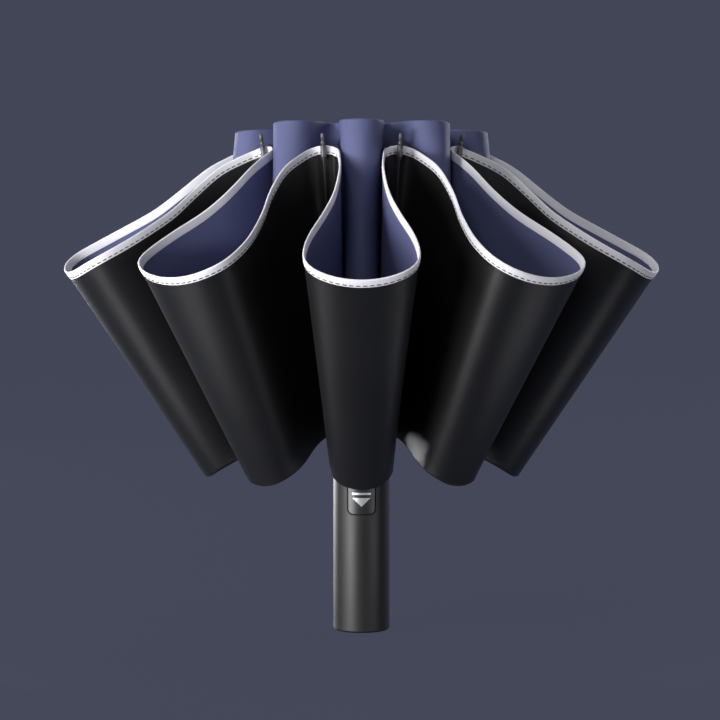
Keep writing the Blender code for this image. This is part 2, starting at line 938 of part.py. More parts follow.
def build_outer_cloth():
    """The black petals, from the bottom fold up to the hem, and the binding on the hem."""
    bottom = petal_row(bottom_valley, bottom_nose, bottom_half_width, bottom_outline_shares)
    hem = petal_row(hem_valley, hem_nose, hem_half_width, hem_outline_shares)
    edge = []
    seam = []
    for low, high in zip(bottom, hem):
        down = (low - high).normalized()
        edge.append(high + down * binding_height)
        seam.append(high + down * (binding_height + gap))
    middle = [low.lerp(high, 0.5) for low, high in zip(bottom, seam)]
    sheet_solid("canopy_petals", [bottom, middle, seam], sheet_thickness, "cloth_black")
    sheet_solid("hem_binding", [edge, hem], binding_thickness, "binding_white")


def build_middle_cloth():
    """The blue wall inside the petals, from the top fold down to the bottom fold."""
    bottom = petal_row(
        inset(bottom_valley, layer_spacing),
        inset(bottom_nose, layer_spacing),
        bottom_half_width - fold_side_inset,
        bottom_outline_shares,
    )
    waist = petal_row(waist_valley, waist_nose, waist_half_width, waist_outline_shares)
    top = petal_row(top_valley, top_nose, top_half_width, top_outline_shares, top_side_drop)
    sheet_solid("canopy_inner_wall", [bottom, waist, top], sheet_thickness, "cloth_blue")


def build_funnel():
    """The pleated funnel of cloth from the crown up to the top fold."""
    top = petal_row(
        (top_joint.x - funnel_valley_in, top_valley[1]),
        inset(top_nose, funnel_inset),
        top_half_width - funnel_inset,
        funnel_outline_shares,
        top_side_drop,
    )
    foot = round_row(funnel_foot_radius, funnel_foot_height)
    collar = round_row(funnel_collar_radius, funnel_collar_height)
    sheet_solid("canopy_funnel", [foot, collar, top], sheet_thickness, "cloth_blue")


clear_scene()
build_handle()
build_base()
build_button()
build_tubes()
build_crown()
build_cap()
build_runner()
build_inner_ribs()
build_stretchers()
build_middle_ribs()
build_outer_ribs()
build_outer_cloth()
build_middle_cloth()
build_funnel()
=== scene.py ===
import json
from math import cos, pi, radians, sin

import bmesh
import bpy
import numpy as np
from mathutils import Matrix, Vector, noise


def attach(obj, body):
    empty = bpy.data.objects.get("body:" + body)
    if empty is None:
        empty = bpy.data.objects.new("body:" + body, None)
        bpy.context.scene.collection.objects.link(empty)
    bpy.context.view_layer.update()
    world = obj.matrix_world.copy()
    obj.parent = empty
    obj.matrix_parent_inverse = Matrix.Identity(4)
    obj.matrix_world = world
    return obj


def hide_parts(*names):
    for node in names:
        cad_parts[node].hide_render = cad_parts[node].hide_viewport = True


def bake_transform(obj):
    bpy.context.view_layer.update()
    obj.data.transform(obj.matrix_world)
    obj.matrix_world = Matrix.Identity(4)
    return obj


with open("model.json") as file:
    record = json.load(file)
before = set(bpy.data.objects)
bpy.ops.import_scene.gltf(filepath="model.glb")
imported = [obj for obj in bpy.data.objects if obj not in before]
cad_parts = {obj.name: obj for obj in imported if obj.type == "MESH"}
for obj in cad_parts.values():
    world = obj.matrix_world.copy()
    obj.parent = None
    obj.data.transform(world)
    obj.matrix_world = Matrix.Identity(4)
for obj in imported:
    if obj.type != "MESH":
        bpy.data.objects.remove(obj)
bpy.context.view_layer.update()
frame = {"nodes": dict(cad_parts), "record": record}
nodes = frame["nodes"]

mm = 0.001
sharpAngle = radians(50)      # between two faces, past which their edge shows
weldReach = 0.001 * mm        # within which points of a new shape are merged
cadWeldReach = 0.002 * mm     # the same for a copy of a CAD node
ribCount = 10
ribPitch = 2 * pi / ribCount
frontAngle = -pi / 2
ribTags = [f"{i + 1:02d}" for i in range(ribCount)]


# Shader nodes, written as sums

class Wire:  # a socket that can stand in a sum
    def __init__(self, paint, socket):
        self.paint = paint
        self.socket = socket

    def __add__(self, other):
        return self.paint.math("ADD", self, other)

    def __radd__(self, other):
        return self.paint.math("ADD", other, self)

    def __sub__(self, other):
        return self.paint.math("SUBTRACT", self, other)

    def __rsub__(self, other):
        return self.paint.math("SUBTRACT", other, self)

    def __mul__(self, other):
        return self.paint.math("MULTIPLY", self, other)

    def __rmul__(self, other):
        return self.paint.math("MULTIPLY", other, self)


class Paint:  # one material and its nodes
    def __init__(self, name, roughness, metallic=0.0, specular=0.5):
        self.material = bpy.data.materials.new(name)
        self.material.use_nodes = True
        self.tree = self.material.node_tree
        self.shader = self.tree.nodes["Principled BSDF"]
        self.set("Roughness", roughness)
        self.set("Metallic", metallic)
        self.set("Specular IOR Level", specular)

    def plug(self, socket, value):
        if isinstance(value, Wire):
            self.tree.links.new(value.socket, socket)
        elif isinstance(value, tuple) and socket.type == "RGBA":
            socket.default_value = (*value, 1.0)
        else:
            socket.default_value = value

    def set(self, name, value):
        self.plug(self.shader.inputs[name], value)

    # Any node: its settings first, then the values or links of its sockets, by name or number
    def node(self, kind, settings=None, sockets=None, output=0):
        made = self.tree.nodes.new(kind)
        for name, value in (settings or {}).items():
            setattr(made, name, value)
        for name, value in (sockets or {}).items():
            self.plug(made.inputs[name], value)
        return Wire(self, made.outputs[output])

    def math(self, operation, *values):
        return self.node("ShaderNodeMath", {"operation": operation}, dict(enumerate(values)))

    def mix(self, factor, first, second):
        return self.node(
            "ShaderNodeMix", {"data_type": "RGBA"}, {0: factor, 6: first, 7: second}, output=2
        )

    def place(self):
        return self.node("ShaderNodeTexCoord", output=3)

    # How far the cloth has run, in metres: 0 along the hem, 1 from the crown outward
    def clothRun(self, direction):
        return self.part(self.node("ShaderNodeUVMap", {"uv_map": "clothRun"}), direction)

    def part(self, vector, number):
        return self.node("ShaderNodeSeparateXYZ", {}, {"Vector": vector}, number)

    def cloudy(self, size, detail, place=None):
        sockets = {"Vector": place or self.place(), "Scale": 1 / size, "Detail": detail}
        return self.node("ShaderNodeTexNoise", {}, sockets)

    def bump(self, height, distance):
        sockets = {"Height": height, "Distance": distance, "Strength": 1.0}
        self.set("Normal", self.node("ShaderNodeBump", {}, sockets))

    # Threads that cross over and under, along the sheet's own directions
    def weave(self, pitch):
        warp = self.math("SINE", self.clothRun(0) * (2 * pi / pitch))
        weft = self.math("SINE", self.clothRun(1) * (2 * pi / pitch))
        return warp * weft * 0.5 + 0.5


# The canopy's cloth

clothSettings = {
    "columns": 36,            # of the mesh, on each half of a petal
    "petalRows": 34,
    "wallRows": 26,
    "funnelRows": 18,
    "foldRows": 4,
    "thickness": 0.40 * mm,
    "splineSteps": 20,        # from one corner of a row to the next
    "outlineFineness": 8,     # points for each column while a row is blurred
    "outlineSoftness": 2.2 * mm,
    "foldRound": 1.1 * mm,
    "topFoldRise": 0.5 * mm,
    "weavePitch": 0.62 * mm,
    "tapeWeavePitch": 0.9 * mm,
    "seamHalfWidth": 7.0 * mm,
    "seamFlatShare": 0.6,     # of the half width, before the seam's edge falls off
    "valleyPull": 1.5 * mm,   # of the outer layer half way up, clear of the rods
    "valleyPullReach": 16.0 * mm,
}

# Each row is a closed line through ten petals: radius and height in the valleys at the ribs
# and at the noses, half of a petal's width, and on the way from the valley to the nose the
# shares of the way out, of the half width and of the way down or up
petalRows = {
    "hem": {
        "valley": (68.0 * mm, 290.4 * mm),
        "nose": (178.5 * mm, 217.4 * mm),
        "halfWidth": 31.5 * mm,
        "shares": (
            (0.027, 0.436, 0.024), (0.097, 0.404, 0.068), (0.232, 0.387, 0.174),
            (0.377, 0.477, 0.355), (0.506, 0.667, 0.517), (0.673, 0.894, 0.671),
            (0.798, 0.983, 0.778), (0.895, 0.965, 0.860), (0.957, 0.790, 0.925),
            (0.990, 0.450, 0.978),
        ),
    },
    "bottom": {
        "valley": (38.0 * mm, 126.0 * mm),
        "nose": (97.0 * mm, 96.8 * mm),
        "halfWidth": 16.0 * mm,
        "shares": (
            (0.100, 0.620, 0.085), (0.250, 0.600, 0.190), (0.420, 0.735, 0.318),
            (0.580, 0.945, 0.450), (0.720, 1.110, 0.575), (0.850, 1.100, 0.715),
            (0.945, 0.880, 0.850), (0.988, 0.480, 0.960),
        ),
    },
    "waist": {
        "valley": (45.3 * mm, 210.0 * mm),
        "nose": (87.6 * mm, 200.7 * mm),
        "halfWidth": 9.6 * mm,
        "shares": (
            (0.130, 1.060, 0.130), (0.330, 1.000, 0.330), (0.550, 1.000, 0.550),
            (0.760, 0.970, 0.760), (0.920, 0.680, 0.920),
        ),
    },
    "top": {
        "valley": (49.0 * mm, 303.4 * mm),
        "nose": (77.6 * mm, 305.0 * mm),
        "halfWidth": 12.7 * mm,
        "shares": (
            (0.129, 0.980, 0.129), (0.327, 0.974, 0.327), (0.492, 1.000, 0.492),
            (0.690, 0.960, 0.690), (0.865, 0.760, 0.865), (0.965, 0.410, 0.965),
        ),
    },
    "funnel": {
        "valley": (38.0 * mm, 303.4 * mm),
        "nose": (76.6 * mm, 305.0 * mm),
        "halfWidth": 11.8 * mm,
        "shares": (
            (0.075, 0.860, 0.075), (0.178, 0.900, 0.178), (0.294, 0.950, 0.294),
            (0.449, 0.980, 0.449), (0.630, 1.000, 0.630), (0.772, 0.930, 0.772),
            (0.894, 0.704, 0.894), (0.971, 0.387, 0.971),
        ),
    },
    "collar": {
        "valley": (14.0 * mm, 210.0 * mm),
        "nose": (26.5 * mm, 210.0 * mm),
        "halfWidth": 3.4 * mm,
        "shares": (
            (0.150, 0.900, 0.150), (0.400, 0.860, 0.400), (0.700, 1.000, 0.700),
            (0.900, 0.720, 0.900),
        ),
    },
}
topSideDrop = 8.0 * mm        # the top fold hangs lower on the two sides
layerSpacing = 1.1 * mm       # between wall and petals at the bottom fold
foldSideInset = 3.0 * mm
foldBulgeShare = 0.6          # of the gap between the two rows that a fold joins
rowCrowding = 0.9
funnelFoot = {"radius": 8.6 * mm, "height": 156.3 * mm}
funnelCollarShare = 0.374

# The creases are a coarse and a fine noise, each read on a circle so that it closes round the
# canopy, and drifting along the cloth. Each layer has its strength, its own part of the noise
# and the power of the swell from its ends to its middle.
rippleSettings = {
    "depth": 0.55 * mm,
    "coarse": {"circle": 7.5, "drift": 1.3, "offset": 0.0, "share": 1.0},
    "fine": {"circle": 19.0, "drift": 1.7, "offset": 9.0, "share": 0.45},
    "layers": {"petals": (1.0, 0.0, 0.5), "wall": (0.6, 40.0, 1.0), "funnel": (0.5, 80.0, 1.0)},
}

# Where each layer meets its rib, and a slope per metre outward and upward from there. followRib
# works out the rib's places from them, then only bakes the piece's place into its mesh
followSlopes = {
    "petals": {"start": (68.0 * mm, 289.5 * mm), "slope": (5.14, -7.06)},
    "wall": {"start": (49.0 * mm, 300.0 * mm), "slope": (44.0, -8.25)},
    "funnel": {"start": (49.0 * mm, 300.0 * mm), "slope": (51.8, -31.6)},
}

columns = clothSettings["columns"]
ringCount = 2 * columns * ribCount


# Corner points of a whole ring, petal by petal
def ringCorners(row, inset, narrower):
    valleyRadius, valleyHeight = row["valley"][0] - inset, row["valley"][1]
    noseRadius, noseHeight = row["nose"][0] - inset, row["nose"][1]
    halfWidth = row["halfWidth"] - narrower
    valleyOut = valleyRadius * cos(ribPitch / 2)
    half = [(valleyOut, -valleyRadius * sin(ribPitch / 2), valleyHeight)]
    for outward, sideways, upward in row["shares"]:
        out = valleyOut + outward * (noseRadius - valleyOut)
        height = valleyHeight + upward * (noseHeight - valleyHeight)
        half.append((out, -sideways * halfWidth, height))
    other = [(x, -y, z) for x, y, z in reversed(half[1:])]
    petal = [Vector(corner) for corner in [*half, (noseRadius, 0, noseHeight), *other]]
    turns = [Matrix.Rotation(frontAngle + k * ribPitch, 3, "Z") for k in range(ribCount)]
    return np.array([turn @ corner for turn in turns for corner in petal])


# A closed line with its points evenly spaced, and its length
def evenly(line, count):
    closed = np.vstack([line, line[:1]])
    run = np.append(0, np.cumsum(np.linalg.norm(np.diff(closed, axis=0), axis=1)))
    goals = np.linspace(0, run[-1], count, endpoint=False)
    return np.stack([np.interp(goals, run, closed[:, i]) for i in range(3)], axis=1), run[-1]


# A smooth ring through the corners: a spline, then blurred so that its curvature has no jumps
def petalRing(row, inset=0.0, narrower=0.0, sideDrop=0.0):
    p1 = ringCorners(row, inset, narrower)
    p0, p2, p3 = np.roll(p1, 1, 0), np.roll(p1, -1, 0), np.roll(p1, -2, 0)
    p0, p1, p2, p3 = p0[:, None], p1[:, None], p2[:, None], p3[:, None]
    steps = clothSettings["splineSteps"]
    t = np.linspace(0, 1, steps, endpoint=False)[None, :, None]
    spline = 2 * p1 + (p2 - p0) * t + (2 * p0 - 5 * p1 + 4 * p2 - p3) * t**2
    spline = (spline + (3 * p1 - p0 - 3 * p2 + p3) * t**3) / 2
    fineCount = clothSettings["outlineFineness"] * ringCount
    even, length = evenly(spline.reshape(-1, 3), fineCount)
    waves = np.fft.fftfreq(len(even), length / len(even))[:, None]
    blur = np.exp(-2 * (pi * waves * clothSettings["outlineSoftness"]) ** 2)
    even = np.fft.ifft(np.fft.fft(even, axis=0) * blur, axis=0).real
    line, _ = evenly(even, ringCount)
    line[:, 2] -= sideDrop * np.sin(np.arctan2(line[:, 1], line[:, 0]) - frontAngle) ** 4
    return line


def roundRing(radius, height):
    angles = frontAngle - ribPitch / 2 + np.arange(ringCount) * 2 * pi / ringCount
    return np.stack(
        [radius * np.cos(angles), radius * np.sin(angles), np.full(ringCount, height)], axis=1
    )


# A parabola through three rows, the middle one half way or at its share of the way. The rows
# in between stand closer together towards both ends, so that the folds stay crisp.
def through(first, middle, last, count, share=0.5):
    rows = []
    for i in range(count + 1):
        t = i / count - rowCrowding * sin(2 * pi * i / count) / (2 * pi)
        a = (t - share) * (t - 1) / share
        b = t * (t - 1) / (share * (share - 1))
        c = t * (t - share) / (1 - share)
        rows.append(a * first + b * middle + c * last)
    return rows


# Half a turn of cloth from one row to the next, bulging by up to a rise along z
def foldOver(first, last, rise, count):
    rows = []
    gap = np.linalg.norm(last - first, axis=1)
    bulge = np.sign(rise) * np.minimum(gap * foldBulgeShare, abs(rise))
    for i in range(1, count):
        t = i / count
        row = first * (1 + cos(pi * t)) / 2 + last * (1 - cos(pi * t)) / 2
        row[:, 2] += bulge * sin(pi * t)
        rows.append(row)
    return rows


def buildSheet():
    settings = clothSettings
    hem = petalRing(petalRows["hem"])
    outerBottom = petalRing(petalRows["bottom"])
    innerBottom = petalRing(petalRows["bottom"], layerSpacing, foldSideInset)
    waist = petalRing(petalRows["waist"])
    top = petalRing(petalRows["top"], sideDrop=topSideDrop)
    funnelTop = petalRing(petalRows["funnel"], sideDrop=topSideDrop)
    foot = roundRing(funnelFoot["radius"], funnelFoot["height"])
    collar = petalRing(petalRows["collar"])
    funnel = through(foot, collar, funnelTop, settings["funnelRows"], funnelCollarShare)
    wall = through(top, waist, innerBottom, settings["wallRows"])
    straight = (outerBottom + hem) / 2
    reach = np.hypot(straight[:, 0], straight[:, 1])
    near = np.clip(1 - (reach - reach.min()) / settings["valleyPullReach"], 0, 1)
    straight[:, :2] *= (1 - settings["valleyPull"] * near / reach)[:, None]
    petals = through(outerBottom, straight, hem, settings["petalRows"])
    topFold = foldOver(funnel[-1], wall[0], settings["topFoldRise"], settings["foldRows"])
    bottomFold = foldOver(wall[-1], petals[0], -settings["foldRound"], settings["foldRows"])
    marks = {"funnel": (0, len(funnel) - 1 + settings["foldRows"] // 2)}
    wallEnd = len(funnel) + len(topFold) + len(wall) - 1 + settings["foldRows"] // 2
    marks["wall"] = (marks["funnel"][1], wallEnd)
    rows = np.array(funnel + topFold + wall + bottomFold + petals)
    marks["petals"] = (wallEnd, len(rows) - 1)
    return rows, marks


# Normals of the black side, from the whole sheet, so that no seam shows between the pieces
def sheetNormals(rows):
    around = np.roll(rows, -1, axis=1) - np.roll(rows, 1, axis=1)
    along = np.gradient(rows, axis=0)
    normals = np.cross(around, along)
    lengths = np.linalg.norm(normals, axis=2, keepdims=True)
    return normals / np.maximum(lengths, 1e-12)  # never divided by zero


def creaseNoise(crease, angle, height, t):
    circle, rise = crease["circle"], height + crease["offset"] + crease["drift"] * t
    spot = Vector((circle * cos(angle), circle * sin(angle), rise))
    return crease["share"] * noise.noise(spot)


# Soft creases that run along the cloth, strongest half way between what holds it
def ripples(rows, marks):
    s = rippleSettings
    moved = np.zeros(rows.shape[:2])
    for layer, (strength, height, power) in s["layers"].items():
        first, last = marks[layer]
        for r in range(first, last + 1):
            t = (r - first) / (last - first)
            free = max(sin(pi * t), 0.0) ** power
            for c in range(ringCount):
                angle = 2 * pi * c / ringCount
                value = sum(creaseNoise(s[name], angle, height, t) for name in ("coarse", "fine"))
                moved[r, c] = s["depth"] * strength * free * value
    return moved


print("Shaping the cloth")
sheetRows, layerMarks = buildSheet()
sheetRows = sheetRows + sheetNormals(sheetRows) * ripples(sheetRows, layerMarks)[:, :, None]
normalRows = sheetNormals(sheetRows)
alongRun = np.cumsum(
    np.append([0.0], np.linalg.norm(np.diff(sheetRows, axis=0), axis=2).mean(axis=1))
)
hemRing = sheetRows[-1]
hemLength = np.linalg.norm(np.roll(hemRing, -1, axis=0) - hemRing, axis=1).sum()
goreWidth = hemLength / ribCount


# The columns of one gore, from the nose of a petal over the rib to the next nose
def goreColumns(rib):
    first = rib * 2 * columns + columns
    return [(first + i) % ringCount for i in range(2 * columns + 1)]


# A piece from a bmesh, which is freed
def newPiece(name, shape, *materials):
    mesh = bpy.data.meshes.new(name)
    shape.to_mesh(mesh)
    shape.free()
    piece = bpy.data.objects.new(name, mesh)
    bpy.context.scene.collection.objects.link(piece)
    for material in materials:
        mesh.materials.append(material)
    return piece


# The least that a face's direction agrees with the sheet's normal on one of its two sides,
# and not on its rim
inSheet = 0.5


def gorePiece(name, rib, layer, *materials):
    firstRow, lastRow = layerMarks[layer]
    gore = goreColumns(rib)
    rowCount = lastRow - firstRow
    shape = bmesh.new()
    bmesh.ops.create_grid(shape, x_segments=len(gore) - 1, y_segments=rowCount, size=1)
    rowMark = shape.verts.layers.int.new("row")
    columnMark = shape.verts.layers.int.new("column")
    thickness = clothSettings["thickness"]
    for vert in shape.verts:
        c = round((vert.co.x + 1) / 2 * (len(gore) - 1))
        r = firstRow + round((vert.co.y + 1) / 2 * rowCount)
        vert[rowMark], vert[columnMark] = r, c
        vert.co = sheetRows[r, gore[c]] - normalRows[r, gore[c]] * thickness / 2
    bmesh.ops.recalc_face_normals(shape, faces=shape.faces)
    shape.faces.ensure_lookup_table()
    middle = shape.faces[len(shape.faces) // 2]
    corner = middle.verts[0]
    if middle.normal.dot(Vector(normalRows[corner[rowMark], gore[corner[columnMark]]])) < 0:
        bmesh.ops.reverse_faces(shape, faces=shape.faces)
    shape.normal_update()
    bmesh.ops.solidify(shape, geom=shape.faces[:], thickness=-thickness)
    uv = shape.loops.layers.uv.new("clothRun")
    shape.normal_update()
    for face in shape.faces:
        sides = [
            face.normal.dot(Vector(normalRows[v[rowMark], gore[v[columnMark]]])) for v in face.verts
        ]
        face.material_index = 0 if max(sides) < -inSheet else 1
        face.smooth = True
        for loop in face.loops:
            r, c = loop.vert[rowMark], loop.vert[columnMark]
            loop[uv].uv = ((rib * 2 * columns + c) / ringCount * hemLength, alongRun[r])
    piece = newPiece(name, shape, *materials)
    rowOf = piece.data.attributes["row"].data
    columnOf = piece.data.attributes["column"].data
    corners = []
    for face in piece.data.polygons:
        for v in face.vertices:
            normal = Vector(normalRows[rowOf[v].value, gore[columnOf[v].value]])
            facing = face.normal.dot(normal)
            if abs(facing) < inSheet:
                corners.append(face.normal)
            else:
                corners.append(normal if facing > 0 else -normal)
    piece.data.normals_split_custom_set(corners)
    return piece


# A place in a rib's own upright plane: so far out from the shaft, and so high
def ribPlace(rib, out, height):
    angle = frontAngle + ribPitch / 2 + rib * ribPitch
    return Vector((out * cos(angle), out * sin(angle), height))


def followRib(piece, rib, layer):
    out, height = followSlopes[layer]["start"]
    outSlope, upSlope = followSlopes[layer]["slope"]
    steepness = outSlope**2 + upSlope**2
    start = ribPlace(rib, out, height)
    end = ribPlace(rib, out + outSlope / steepness, height + upSlope / steepness)
    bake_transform(piece)


# Finishes of the cloth

clothColors = {
    "black": (0.0058, 0.0058, 0.0062),
    "blackFaded": (0.0078, 0.0078, 0.0082),
    "blue": (0.099, 0.108, 0.222),
    "blueDeep": (0.084, 0.095, 0.192),
    "tape": (0.800, 0.790, 0.842),
    "tapeShade": (0.740, 0.730, 0.790),
    "thread": (0.012, 0.012, 0.013),
    "threadWorn": (0.03, 0.03, 0.032),
}
clothLook = {
    "patches": 60 * mm,
    "dullPatches": 35 * mm,
    "dullSpread": 0.12,       # of the roughness, from patch to patch
    "seamDullness": 0.60,
    "slubs": 2.5 * mm,
    "slubRise": 0.6,          # beside the weave's own rise of 1
    "seamRise": 2.0,
    "relief": 0.035 * mm,
    "tapeFlecks": 0.8 * mm,
    "tapeRelief": 0.06 * mm,
    "threadTwist": 0.5 * mm,
    "threadRelief": 0.05 * mm,
}


# The sewn seam of two gores along each rib, a double strip that is duller than the cloth
def seamMask(paint):
    away = paint.math("FRACT", paint.clothRun(0) * (1 / goreWidth)) - 0.5
    edge = clothSettings["seamHalfWidth"] / goreWidth
    sockets = {
        "Value": paint.math("ABSOLUTE", away), "From Min": edge * clothSettings["seamFlatShare"],
        "From Max": edge, "To Min": 1.0, "To Max": 0.0,
    }
    return paint.node("ShaderNodeMapRange", {"interpolation_type": "SMOOTHSTEP"}, sockets)


def clothPaint(name, color, otherColor, roughness, specular):
    s = clothLook
    paint = Paint(name, roughness, specular=specular)
    seam = seamMask(paint)
    paint.set("Base Color", paint.mix(paint.cloudy(s["patches"], 2.0), color, otherColor))
    dull = paint.cloudy(s["dullPatches"], 2.0) * s["dullSpread"] - s["dullSpread"] / 2
    paint.set("Roughness", dull + seam * s["seamDullness"] + roughness)
    slubs = paint.cloudy(s["slubs"], 2.0) * s["slubRise"]
    weave = paint.weave(clothSettings["weavePitch"])
    paint.bump(weave + slubs + seam * s["seamRise"], s["relief"])
    return paint.material


def tapePaint():
    paint = Paint("hemTape", 0.62, specular=0.35)
    ribs = paint.weave(clothSettings["tapeWeavePitch"])
    flecks = paint.cloudy(clothLook["tapeFlecks"], 3.0)
    shade = paint.mix(flecks * 0.5 + ribs * 0.5, clothColors["tape"], clothColors["tapeShade"])
    paint.set("Base Color", shade)
    paint.bump(ribs + flecks, clothLook["tapeRelief"])
    return paint.material


def threadPaint():
    paint = Paint("blackThread", 0.6)
    twist = paint.cloudy(clothLook["threadTwist"], 2.0)
    paint.set("Base Color", paint.mix(twist, clothColors["thread"], clothColors["threadWorn"]))
    paint.bump(twist, clothLook["threadRelief"])
    return paint.material


blackCloth = clothPaint("blackCloth", clothColors["black"], clothColors["blackFaded"], 0.36, 0.60)
blueCloth = clothPaint("blueCloth", clothColors["blue"], clothColors["blueDeep"], 0.50, 0.16)
hemTape = tapePaint()
blackThread = threadPaint()


# The tape that is folded over the hem, and its line of stitches

tapeSettings = {
    "width": 4.5 * mm,
    "halfThickness": 0.62 * mm,
    "overEdge": 0.45 * mm,
    "stitchFromEdge": 1.25 * mm,
    "stitchLength": 2.4 * mm,
    "stitchGap": 1.3 * mm,
    "stitchWidth": 0.52 * mm,
    "stitchProud": 0.16 * mm,
    "stitchRound": 0.45,      # of its width, at the corners
    "leastUpright": 0.9,      # of a corner's edge, beside the way out of the cloth
    "slopeRows": 4,           # of the cloth below the hem, which the tape lies along
}

# The tape's section: shares of its width down from the hem, and of its half thickness; then,
# where it turns over the hem, shares of the reach past it, and of the half thickness
tapeSection = (
    (0.00, 0.88), (0.10, 1.00), (0.45, 0.96), (0.80, 1.00), (0.97, 0.86), (1.00, 0.40),
)
tapeTurn = ((0.75, 0.6), (1.0, 0.0), (0.75, -0.6))

hemDown = sheetRows[-1 - tapeSettings["slopeRows"]] - sheetRows[-1]
hemDown = hemDown / np.linalg.norm(hemDown, axis=1, keepdims=True)
hemOut = normalRows[-1]


def tapePlace(column, down, proud):
    return hemRing[column] + hemDown[column] * down + hemOut[column] * proud


def tapePiece(name, rib, *materials):
    s = tapeSettings
    half = s["halfThickness"]
    outer = [(share * s["width"], thick * half) for share, thick in reversed(tapeSection)]
    over = [(-share * s["overEdge"], thick * half) for share, thick in tapeTurn]
    inner = [(down, -proud) for down, proud in reversed(outer)]
    section = outer + over + inner
    gore = goreColumns(rib)
    shape = bmesh.new()
    bmesh.ops.create_grid(shape, x_segments=len(gore) - 1, y_segments=len(section) - 1, size=1)
    uv = shape.loops.layers.uv.new("clothRun")
    rings = [[None] * len(section) for _ in gore]
    for vert in shape.verts:
        c = round((vert.co.x + 1) / 2 * (len(gore) - 1))
        k = round((vert.co.y + 1) / 2 * (len(section) - 1))
        rings[c][k] = vert
        for loop in vert.link_loops:
            loop[uv].uv = ((rib * 2 * columns + c) / ringCount * hemLength, k * mm)
        vert.co = tapePlace(gore[c], *section[k])
    # The two edges meet under the tape, against the cloth
    for a, b in zip(rings, rings[1:]):
        shape.faces.new((a[-1], b[-1], b[0], a[0]))
    for end in (rings[0], rings[-1]):
        shape.faces.new(end)
    bmesh.ops.recalc_face_normals(shape, faces=shape.faces)
    for face in shape.faces:
        face.smooth = len(face.verts) == 4
    stitches(shape, gore)
    piece = newPiece(name, shape, *materials)
    piece.data.set_sharp_from_angle(angle=sharpAngle)
    return piece


# Each stitch is a small rounded bar that lies along the hem on the outside of the tape
def stitches(shape, gore):
    s = tapeSettings
    down = s["width"] - s["stitchFromEdge"]
    line = [Vector(tapePlace(c, down, s["halfThickness"])) for c in gore]
    outs = [Vector(hemOut[c]) for c in gore]
    run = [0.0]
    for a, b in zip(line, line[1:]):
        run.append(run[-1] + (b - a).length)
    count = max(1, round(run[-1] / (s["stitchLength"] + s["stitchGap"])))
    pitch = run[-1] / count
    k = 0
    for i in range(count):
        goal = (i + 0.5) * pitch
        while run[k + 1] < goal:
            k += 1
        share = (goal - run[k]) / (run[k + 1] - run[k])
        center = line[k].lerp(line[k + 1], share)
        out = outs[k].lerp(outs[k + 1], share).normalized()
        along = (line[k + 1] - line[k]).normalized()
        side = out.cross(along).normalized()
        along = side.cross(out)
        turn = Matrix((along, side, out)).transposed().to_4x4()
        size = Matrix.Diagonal((s["stitchLength"], s["stitchWidth"], 2 * s["stitchProud"], 1))
        place = Matrix.Translation(center) @ turn @ size
        made = bmesh.ops.create_cube(shape, size=1, matrix=place)
        for face in {face for vert in made["verts"] for face in vert.link_faces}:
            face.material_index = 1
        upright = []
        for edge in {edge for vert in made["verts"] for edge in vert.link_edges}:
            direction = (edge.verts[0].co - edge.verts[1].co).normalized()
            if abs(direction.dot(out)) > s["leastUpright"]:
                upright.append(edge)
        bmesh.ops.bevel(
            shape, geom=upright, offset=s["stitchWidth"] * s["stitchRound"], segments=2,
            profile=0.5, affect="EDGES", material=-1,
        )


print("Making the gores and the tape")
gorePieces = {}
for rib, tag in enumerate(ribTags):
    for layer in ("petals", "wall", "funnel"):
        piece = gorePiece(f"canopy_{layer}_{tag}", rib, layer, blackCloth, blueCloth)
        followRib(piece, rib, layer)
        gorePieces[layer, rib] = piece
    tape = tapePiece(f"hem_tape_{tag}", rib, hemTape, blackThread)
    followRib(tape, rib, "petals")
    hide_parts("hem_binding")
    gorePieces["tape", rib] = tape

# The real gore is a triangle 0.51 m long whose hem side is a tenth of the hem
for layer, (firstRow, lastRow) in layerMarks.items():
    rows = sheetRows[firstRow : lastRow + 1]
    length = np.linalg.norm(np.diff(rows, axis=0), axis=2).sum(axis=0).mean()
    widths = np.linalg.norm(np.roll(rows, -1, axis=1) - rows, axis=2).sum(axis=1) / ribCount
    ends = f"{widths[0]:.3f} to {widths[-1]:.3f} m wide"
    print(f"{layer}: {length:.3f} m long, {ends}, {widths.mean():.3f} m on average")
for (layer, rib), piece in gorePieces.items():
    if layer == "tape":
        continue
    extra = [gorePieces["tape", rib]] if layer == "petals" else []
    "cloth_black" if layer == "petals" else "cloth_blue"
    replaced = {"petals": "canopy_petals", "wall": "canopy_inner_wall", "funnel": "canopy_funnel"}
    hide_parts(replaced[layer])


# Outer ribs: the foot at the joint as it is in the frame, then a thin rod that ends in a
# turned tip with two grooves, a thick sleeve at the hem and a small knob below it

rodSettings = {
    "foot": (41.0 * mm, 124.5 * mm),
    "tip": (72.4 * mm, 297.4 * mm),
    "keptFoot": 7.0 * mm,     # of the frame's own rod, above its foot
    "radius": 0.58 * mm,
    "steps": 20,
    "shoulder": 0.2 * mm,     # between the tip's outline and the rod
    "overlap": 0.5 * mm,      # of the new rod and the kept one
    "sleeveDrop": 15.9 * mm,  # from the tip's own height to the bare rod
}

# Distance below the tip and radius in mm, along the tip's turned outline
tipOutline = (
    (-0.25, 0.00), (-0.20, 0.50), (0.00, 0.85), (0.45, 1.12), (3.70, 1.18), (3.85, 0.80),
    (4.40, 0.80), (4.55, 1.24), (6.20, 1.28), (6.35, 0.84), (6.90, 0.84), (7.05, 1.42),
    (7.40, 1.62), (13.2, 1.66), (13.8, 1.52), (14.1, 1.10), (14.5, 0.98), (15.2, 0.98),
    (15.6, 0.66),
)


# The mesh of a CAD node with its loose triangles merged
def mergedNode(name):
    shape = bmesh.new()
    shape.from_mesh(nodes[name].data)
    bmesh.ops.remove_doubles(shape, verts=shape.verts, dist=cadWeldReach)
    return shape


